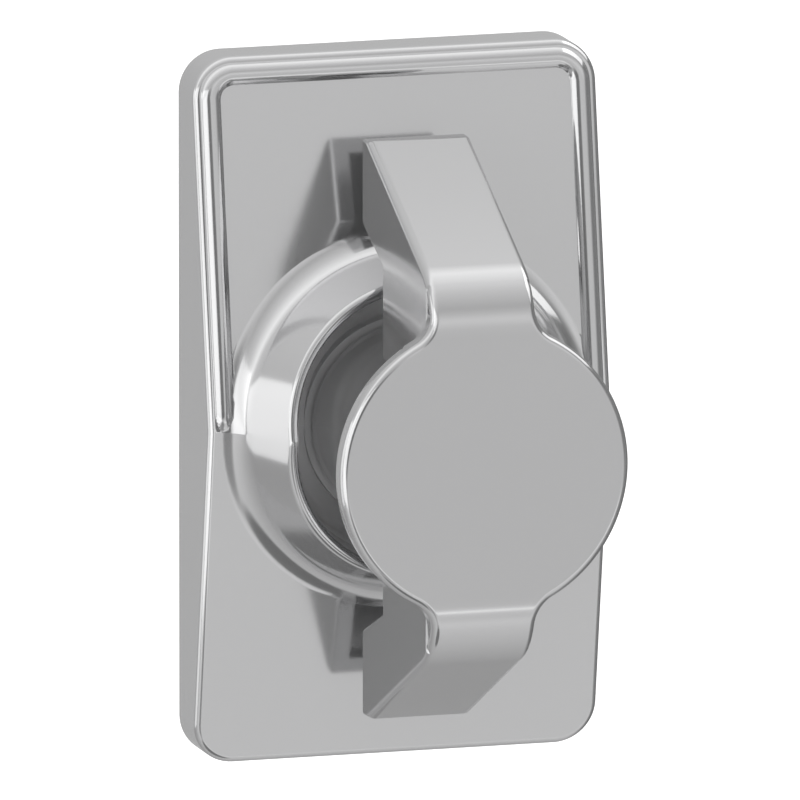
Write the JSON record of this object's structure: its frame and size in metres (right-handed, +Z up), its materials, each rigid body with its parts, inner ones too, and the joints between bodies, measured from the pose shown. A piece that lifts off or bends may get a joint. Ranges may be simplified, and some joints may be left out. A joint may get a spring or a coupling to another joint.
{
  "type": "enclosure lock",
  "caption": "Turn-handle enclosure lock: a wing handle on a cupped, creased escutcheon, with a spindle in a barrel and a cranked cam behind the door.",
  "frame": {"origin": "on the handle axis, in the plane of the door against which the escutcheon's back rim rests", "axes": "+Y along the handle axis into the enclosure, so the handle faces -Y; +Z up the plate; +X to the right seen from the front"},
  "size_m": [0.052, 0.0778, 0.0889],
  "materials": {
    "cast_chrome": "polished chrome on zinc die casting",
    "zinc_plate": "bright zinc plated steel",
    "spring_steel": "oiled spring steel",
    "brass": "turned brass",
    "bush_plastic": "natural acetal",
    "seal_rubber": "black rubber"
  },
  "bodies": {
    "housing": {"escutcheon": "cast_chrome", "threaded_inserts": "brass", "plate_gasket": "seal_rubber", "front_bush": "bush_plastic", "barrel": "zinc_plate", "barrel_seal": "seal_rubber", "barrel_screws": "zinc_plate", "rear_bush": "bush_plastic"},
    "knob": {"handle": "cast_chrome", "neck_washer": "zinc_plate", "spindle": "zinc_plate", "spindle_pin": "spring_steel", "spindle_seal": "seal_rubber", "disc_spring": "spring_steel", "thrust_washer": "zinc_plate", "circlip": "spring_steel", "stop_washer": "zinc_plate", "cam": "zinc_plate", "cam_washer": "zinc_plate", "lock_washer": "spring_steel", "cam_screw": "zinc_plate"}
  },
  "joints": [
    {"name": "handle_turn", "type": "hinge", "parent": "housing", "child": "knob", "pos_m": [0, 0, 0], "axis": [0, 1, 0], "range_deg": [0, 90]}
  ]
}
